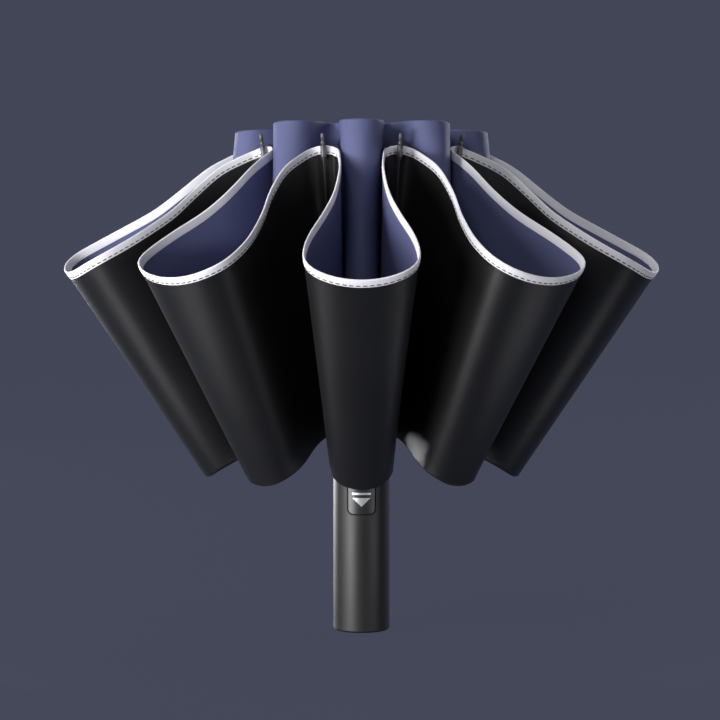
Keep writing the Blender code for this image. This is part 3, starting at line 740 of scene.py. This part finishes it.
def rodPiece(name, rib, material):
    foot = ribPlace(rib, *rodSettings["foot"])
    tip = ribPlace(rib, *rodSettings["tip"])
    down = (foot - tip).normalized()
    run = (foot - tip).length - rodSettings["keptFoot"]
    radius, end = rodSettings["radius"], run + rodSettings["overlap"]
    outline = [(along * mm, reach * mm) for along, reach in tipOutline]
    outline += [(outline[-1][0] + rodSettings["shoulder"], radius), (end, radius), (end, 0)]
    shape = bmesh.new()
    corners = [shape.verts.new((reach, 0, along)) for along, reach in outline]
    edges = [shape.edges.new(pair) for pair in zip(corners, corners[1:])]
    bmesh.ops.spin(
        shape, geom=corners + edges, cent=(0, 0, 0), axis=(0, 0, 1), angle=2 * pi,
        steps=rodSettings["steps"], use_merge=True,
    )
    bmesh.ops.remove_doubles(shape, verts=shape.verts, dist=weldReach)
    bmesh.ops.recalc_face_normals(shape, faces=shape.faces)
    turn = Vector((0, 0, 1)).rotation_difference(down).to_matrix().to_4x4()
    bmesh.ops.transform(shape, matrix=Matrix.Translation(tip) @ turn, verts=shape.verts)
    for face in shape.faces:
        face.smooth = True

    joint = mergedNode(f"outer_rib_{ribTags[rib]}")
    bmesh.ops.bisect_plane(
        joint, geom=[*joint.verts, *joint.edges, *joint.faces], dist=weldReach,
        plane_co=foot - down * rodSettings["keptFoot"], plane_no=-down, clear_outer=True,
    )
    rim = [edge for edge in joint.edges if edge.is_boundary]
    bmesh.ops.holes_fill(joint, edges=rim, sides=0)
    for face in joint.faces:
        face.smooth = False
    jointMesh = bpy.data.meshes.new(name + "Foot")
    joint.to_mesh(jointMesh)
    joint.free()
    shape.from_mesh(jointMesh)
    bpy.data.meshes.remove(jointMesh)

    piece = newPiece(name, shape, material)
    piece.data.set_sharp_from_angle(angle=sharpAngle)
    return piece


# The rod is darker than its tip, which is a separate plated sleeve
rodLook = {
    "plated": ((0.150, 0.143, 0.150), (0.085, 0.083, 0.088)),
    "plain": ((0.120, 0.120, 0.125), (0.085, 0.085, 0.090)),
    "patches": (2.5 * mm, 4.0),
    "roughness": (0.24, 0.16, 0.14),  # least, and what patches and plating add
    "grain": (0.5 * mm, 3.0),
    "relief": 0.02 * mm,
}


def rodPaint():
    least, byPatches, byPlating = rodLook["roughness"]
    paint = Paint("plainAndPlatedRod", least, 0.6)
    sleeveFoot = rodSettings["tip"][1] - rodSettings["sleeveDrop"]
    sleeve = paint.math("GREATER_THAN", paint.part(paint.place(), 2), sleeveFoot)
    patches = paint.cloudy(*rodLook["patches"])
    plated = paint.mix(patches, *rodLook["plated"])
    plain = paint.mix(patches, *rodLook["plain"])
    paint.set("Base Color", paint.mix(sleeve, plain, plated))
    paint.set("Roughness", patches * byPatches + sleeve * byPlating + least)
    paint.bump(paint.cloudy(*rodLook["grain"]), rodLook["relief"])
    return paint.material


print("Turning the outer ribs")
rodFinish = rodPaint()
for rib, tag in enumerate(ribTags):
    rod = rodPiece(f"tipped_rod_{tag}", rib, rodFinish)
    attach(rod, f"outer_rib_{tag}")
    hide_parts(f"outer_rib_{tag}")


# Plain finishes: two close colors; size and detail of their patches; the least roughness and
# what patches and grain add to it; size, detail and depth of the grain
plainFinishes = {
    "softTouchGrip": {
        "colors": ((0.0110, 0.0110, 0.0113), (0.0150, 0.0150, 0.0153)), "specular": 0.45,
        "patches": (40 * mm, 3.0), "roughness": (0.36, 0.10, 0.08),
        "grain": (0.55 * mm, 2.0, 0.03 * mm),
    },
    "satinButton": {
        "colors": ((0.014, 0.014, 0.015), (0.020, 0.020, 0.021)),
        "patches": (12 * mm, 3.0), "roughness": (0.30, 0.12, 0.0),
        "grain": (0.8 * mm, 2.0, 0.01 * mm),
    },
    "mouldedNylon": {
        "colors": ((0.020, 0.020, 0.022), (0.028, 0.028, 0.030)),
        "patches": (10 * mm, 3.0), "roughness": (0.42, 0.15, 0.0),
        "grain": (0.6 * mm, 2.0, 0.015 * mm),
    },
    "darkPlatedRib": {
        "colors": ((0.060, 0.060, 0.066), (0.040, 0.040, 0.044)), "metallic": 0.85,
        "patches": (9 * mm, 4.0), "roughness": (0.31, 0.18, 0.0),
        "grain": (0.7 * mm, 3.0, 0.02 * mm),
    },
    "silverPrint": {
        "colors": ((0.62, 0.62, 0.63), (0.74, 0.74, 0.75)), "metallic": 0.7,
        "patches": (1.5 * mm, 3.0), "roughness": (0.28, 0.15, 0.0),
    },
    # painted shade: the near-black ring in the gap round the button
    "paintedGapShade": {
        "colors": ((0.003, 0.003, 0.003), (0.006, 0.006, 0.006)), "specular": 0.2,
        "patches": (1.2 * mm, 3.0), "roughness": (0.6, 0.2, 0.0),
    },
}
tubeLook = {
    "colors": ((0.21, 0.21, 0.22), (0.28, 0.28, 0.29)),
    "lines": (0.9 * mm, 3.0),
    "lineStretch": (1, 1, 0.04),
    "roughness": (0.33, 0.08),
    "relief": 0.01 * mm,
}


def plainPaint(name):
    s = plainFinishes[name]
    least, byPatches, byGrain = s["roughness"]
    paint = Paint(name, least, s.get("metallic", 0.0), s.get("specular", 0.5))
    patches = paint.cloudy(*s["patches"])
    roughness = patches * byPatches + least
    if "grain" in s:
        size, detail, depth = s["grain"]
        grain = paint.cloudy(size, detail)
        roughness = roughness + grain * byGrain
        paint.bump(grain, depth)
    paint.set("Base Color", paint.mix(patches, *s["colors"]))
    paint.set("Roughness", roughness)
    return paint.material


def tubePaint():
    least, byLines = tubeLook["roughness"]
    paint = Paint("drawnTube", least, 1.0)
    sockets = {"Vector": paint.place(), "Scale": tubeLook["lineStretch"]}
    drawn = paint.cloudy(*tubeLook["lines"], paint.node("ShaderNodeMapping", {}, sockets))
    paint.set("Base Color", paint.mix(drawn, *tubeLook["colors"]))
    paint.set("Roughness", drawn * byLines + least)
    paint.bump(drawn, tubeLook["relief"])
    return paint.material


gripFinish = plainPaint("softTouchGrip")
buttonFinish = plainPaint("satinButton")
tubeFinish = tubePaint()
nylonFinish = plainPaint("mouldedNylon")
ribFinish = plainPaint("darkPlatedRib")
for tag in ribTags:
    for kind in ("inner_rib", "stretcher", "middle_rib"):
        rib = nodes[f"{kind}_{tag}"]
        rib.data.materials.clear()
        rib.data.materials.append(ribFinish)

# The turned parts keep the frame's shapes, with the true normals of their round sides,
# so that no facets show: the node, the piece that stands for it, its finish and slot
turnedParts = (
    ("handle_body", "grip_shell", gripFinish, "handle_grip"),
    ("handle_base", "grip_plug", gripFinish, "handle_grip"),
    ("button", "button_cap", buttonFinish, "button_face"),
    ("lower_tube", "shaft_tube_1", tubeFinish, "steel_tube"),
    ("second_tube", "shaft_tube_2", tubeFinish, "steel_tube"),
    ("third_tube", "shaft_tube_3", tubeFinish, "steel_tube"),
    ("upper_tube", "shaft_tube_4", tubeFinish, "steel_tube"),
    ("crown", "crown_hub", nylonFinish, "crown_nylon"),
    ("crown_cap", "crown_top", nylonFinish, "crown_nylon"),
    ("runner", "runner_hub", nylonFinish, "crown_nylon"),
)
bodies = frame["record"]["behaviour"]["bodies"]

# A face is round if its normal is not too upright and points along its own radius
leastSideways = 0.05
leastRadial = 0.985


def turnedPiece(name, node, material):
    shape = mergedNode(node)
    for face in shape.faces:
        face.smooth = True
    piece = newPiece(name, shape, material)
    mesh = piece.data
    corners = []
    for face in mesh.polygons:
        flat = Vector((face.normal.x, face.normal.y, 0))
        away = Vector((face.center.x, face.center.y, 0))
        radial = abs(flat.normalized().dot(away.normalized()))
        isRound = flat.length > leastSideways and radial > leastRadial
        inOrOut = 1 if flat.dot(away) > 0 else -1
        for v in face.vertices:
            place = mesh.vertices[v].co
            around = Vector((place.x, place.y, 0)).normalized() * inOrOut * flat.length
            corners.append(around + Vector((0, 0, face.normal.z)) if isRound else face.normal)
    mesh.normals_split_custom_set(corners)
    return piece


print("Smoothing the turned parts")
for node, name, finish, slot in turnedParts:
    piece = turnedPiece(name, node, finish)
    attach(piece, next(body for body, members in bodies.items() if node in members))
    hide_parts(node)


# The signs on the button: a bar over a triangle that points down

signSettings = {
    "barWidth": 11.3 * mm,
    "barHeight": 1.2 * mm,
    "barCenter": 84.1 * mm,
    "triangleWidth": 10.8 * mm,
    "triangleTop": 81.6 * mm,
    "triangleHeight": 5.3 * mm,
    "faceRadius": 17.5 * mm,
    "proud": 0.12 * mm,
    "cuts": 5,                # across a sign, so that it bends with the button's face
}


# A thin plate from a sheet of faces that is turned to the front
def frontPlate(name, shape, thickness, material):
    bmesh.ops.recalc_face_normals(shape, faces=shape.faces)
    shape.faces.ensure_lookup_table()
    if shape.faces[0].normal.y > 0:
        bmesh.ops.reverse_faces(shape, faces=shape.faces)
    shape.normal_update()
    bmesh.ops.solidify(shape, geom=shape.faces[:], thickness=thickness)
    return newPiece(name, shape, material)


def signPiece(name, outline, material):
    s = signSettings
    shape = bmesh.new()
    shape.faces.new([shape.verts.new((x, 0, z)) for x, z in outline])
    bmesh.ops.triangulate(shape, faces=shape.faces)
    bmesh.ops.subdivide_edges(shape, edges=shape.edges, cuts=s["cuts"], use_grid_fill=True)
    for vert in shape.verts:
        vert.co.y = -(s["faceRadius"] ** 2 - vert.co.x**2) ** 0.5 - s["proud"]
    return frontPlate(name, shape, 2 * s["proud"], material)


print("Printing the button")
silverPrint = plainPaint("silverPrint")
halfBar, barHigh = signSettings["barWidth"] / 2, signSettings["barHeight"] / 2
barCenter = signSettings["barCenter"]
halfTriangle, triangleTop = signSettings["triangleWidth"] / 2, signSettings["triangleTop"]
signs = {
    "button_bar": (
        (-halfBar, barCenter - barHigh), (halfBar, barCenter - barHigh),
        (halfBar, barCenter + barHigh), (-halfBar, barCenter + barHigh),
    ),
    "button_triangle": (
        (-halfTriangle, triangleTop), (0, triangleTop - signSettings["triangleHeight"]),
        (halfTriangle, triangleTop),
    ),
}
for name, outline in signs.items():
    sign = signPiece(name, outline, silverPrint)
    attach(sign, "button")


# Painted shade of the gap round the button: a near-black ring laid in the joint

gapShadeSettings = {
    "innerHalfWidth": 8.05 * mm,
    "bottom": 71.85 * mm,
    "height": 26.3 * mm,
    "corner": 3.1 * mm,
    "width": 0.75 * mm,
    "handleRadius": 17.0 * mm,
    "proud": 0.07 * mm,
    "depth": 0.5 * mm,
    "cornerSteps": 6,
    "sideSteps": 12,
}


def gapShadeLine(grow):
    s = gapShadeSettings
    half, corner = s["innerHalfWidth"] - s["corner"], s["corner"] + grow
    low, high = s["bottom"] + s["corner"], s["bottom"] + s["height"] - s["corner"]
    centers = ((half, low, -pi / 2), (half, high, 0), (-half, high, pi / 2), (-half, low, pi))
    line = []
    for (x, z, start), (nextX, nextZ, nextStart) in zip(centers, centers[1:] + centers[:1]):
        for i in range(s["cornerSteps"] + 1):
            angle = start + pi / 2 * i / s["cornerSteps"]
            line.append(Vector((x + corner * cos(angle), 0, z + corner * sin(angle))))
        after = line[-1]
        goal = Vector((nextX + corner * cos(nextStart), 0, nextZ + corner * sin(nextStart)))
        line += [after.lerp(goal, i / s["sideSteps"]) for i in range(1, s["sideSteps"])]
    return line


def gapShadePiece(name, material):
    s = gapShadeSettings
    shape = bmesh.new()
    loops = []
    for grow in (0.0, s["width"]):
        verts = [shape.verts.new(place) for place in gapShadeLine(grow)]
        loops += [shape.edges.new(pair) for pair in zip(verts, verts[1:] + verts[:1])]
    bmesh.ops.bridge_loops(shape, edges=loops)
    reach = s["handleRadius"] + s["proud"]
    for vert in shape.verts:
        vert.co.y = -((reach**2 - vert.co.x**2) ** 0.5)
    return frontPlate(name, shape, s["depth"], material)


# A thin near-black plate that paints the shade of the button's gap
gapShadeRing = gapShadePiece("button_gap_shade", plainPaint("paintedGapShade"))
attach(gapShadeRing, "handle")


# Floor, camera and lamps

roomSettings = {
    "slate": (0.0598, 0.0652, 0.1015),
    "evenness": 0.93,         # of the slate that a lamp doesn't change
    "floorReach": 3.0,
    "floorBend": 0.8,         # radius where the floor turns up into the back
    "bendSteps": 16,
    "backHeight": 2.6,
    "cameraPlace": (-0.0009, -1.5, 0.267),
    "cameraAim": (-0.0009, 0.0, 0.163),
    "lens": 125,
    "worldColor": (0.88, 0.91, 1.0),
    "worldStrength": 0.10,
}

# The rays that see the slate as it is
seenRays = ("Is Camera Ray", "Is Glossy Ray", "Is Transmission Ray")


def sweepPiece():
    shape = bmesh.new()
    reach, bend = roomSettings["floorReach"], roomSettings["floorBend"]
    steps = roomSettings["bendSteps"]
    profile = [(-reach, 0.0), (reach - bend, 0.0)]
    for i in range(1, steps + 1):
        angle = pi / 2 * i / steps
        profile.append((reach - bend + bend * sin(angle), bend - bend * cos(angle)))
    profile.append((reach, roomSettings["backHeight"]))
    corners = [shape.verts.new((-2 * reach, y, z)) for y, z in profile]
    edges = [shape.edges.new(pair) for pair in zip(corners, corners[1:])]
    pulled = bmesh.ops.extrude_edge_only(shape, edges=edges)
    moved = [item for item in pulled["geom"] if isinstance(item, bmesh.types.BMVert)]
    bmesh.ops.translate(shape, verts=moved, vec=(4 * reach, 0, 0))
    bmesh.ops.recalc_face_normals(shape, faces=shape.faces)
    for face in shape.faces:
        face.smooth = True
    paint = Paint("paperSweep", 0.9, specular=0.1)
    paint.set("Base Color", roomSettings["slate"])
    seen = [paint.node("ShaderNodeLightPath", output=name) for name in seenRays]
    even = paint.node("ShaderNodeEmission", {}, {"Color": roomSettings["slate"]})
    plain = Wire(paint, paint.shader.outputs[0])
    share = (seen[0] + seen[1] + seen[2]) * roomSettings["evenness"]
    mixed = paint.node("ShaderNodeMixShader", {}, {0: share, 1: plain, 2: even})
    paint.plug(paint.tree.nodes["Material Output"].inputs["Surface"], mixed)
    return newPiece("sweep", shape, paint.material)


sweepPiece()

white, warm, cool = (1.0, 1.0, 1.0), (1.0, 0.98, 0.97), (0.96, 0.98, 1.0)
wide, narrow = pi, 1.2        # how far a lamp's light fans out
lamps = {                     # place, width and height, watts, color, spread
    "keyLamp": ((-1.70, -0.85, 0.95), (0.4, 1.0), 27, warm, wide),
    "frontLamp": ((-0.5, -1.8, 1.25), (0.7, 0.5), 7, white, wide),
    "sideLamp": ((0.75, -1.35, 0.50), (0.4, 0.3), 1.0, white, wide),
    "topLamp": ((-0.3, 0.3, 2.2), (0.9, 0.9), 9, cool, wide),
    "edgeLamp": ((1.3, 1.3, 0.7), (0.5, 0.9), 15, cool, wide),
    "lowFrontLamp": ((-0.67, -0.70, 0.06), (0.5, 0.14), 1.5, white, narrow),
    "lowLeftLamp": ((-0.70, -0.20, 0.08), (0.40, 0.14), 0.18, white, narrow),
    "lowRightLamp": ((0.62, -0.55, 0.08), (0.45, 0.14), 0.15, white, narrow),
    "lowBackLamp": ((-0.9, 1.2, 0.10), (0.6, 0.14), 2.4, white, narrow),
    "leftStreakLamp": ((-0.21, -0.17, 0.02), (0.09, 0.08), 0.055, white, wide),
    "rightStreakLamp": ((0.21, -0.15, 0.02), (0.10, 0.08), 0.035, white, wide),
}
lampAim = Vector((0, 0, 0.2))
for name, (place, size, power, color, spread) in lamps.items():
    light = bpy.data.lights.new(name, "AREA")
    light.shape = "RECTANGLE"
    light.size, light.size_y = size
    light.energy, light.color, light.spread = power, color, spread
    holder = bpy.data.objects.new(name, light)
    bpy.context.scene.collection.objects.link(holder)
    holder.location = place
    holder.visible_camera = False
    holder.rotation_euler = (lampAim - holder.location).to_track_quat("-Z", "Y").to_euler()

# The world lights with its own color and is seen in the slate of the sweep
world = bpy.data.worlds.new("studio")
bpy.context.scene.world = world
world.use_nodes = True
worldNodes, worldLinks = world.node_tree.nodes, world.node_tree.links
lit = worldNodes["Background"]
lit.inputs["Color"].default_value = (*roomSettings["worldColor"], 1)
lit.inputs["Strength"].default_value = roomSettings["worldStrength"]
seen = worldNodes.new("ShaderNodeBackground")
seen.inputs["Color"].default_value = (*roomSettings["slate"], 1)
rays = worldNodes.new("ShaderNodeLightPath")
anySeen = rays.outputs[seenRays[0]]
for name in seenRays[1:]:
    either = worldNodes.new("ShaderNodeMath")
    either.operation = "MAXIMUM"
    worldLinks.new(anySeen, either.inputs[0])
    worldLinks.new(rays.outputs[name], either.inputs[1])
    anySeen = either.outputs[0]
mixed = worldNodes.new("ShaderNodeMixShader")
worldLinks.new(anySeen, mixed.inputs[0])
worldLinks.new(lit.outputs[0], mixed.inputs[1])
worldLinks.new(seen.outputs[0], mixed.inputs[2])
worldLinks.new(mixed.outputs[0], worldNodes["World Output"].inputs["Surface"])

camera = bpy.data.objects.new("camera", bpy.data.cameras.new("camera"))
bpy.context.scene.collection.objects.link(camera)
camera.location = roomSettings["cameraPlace"]
camera.data.lens = roomSettings["lens"]
aim = Vector(roomSettings["cameraAim"]) - camera.location
camera.rotation_euler = aim.to_track_quat("-Z", "Y").to_euler()
bpy.context.scene.camera = camera
bpy.context.scene.view_settings.view_transform = "Standard"

print("Finished")
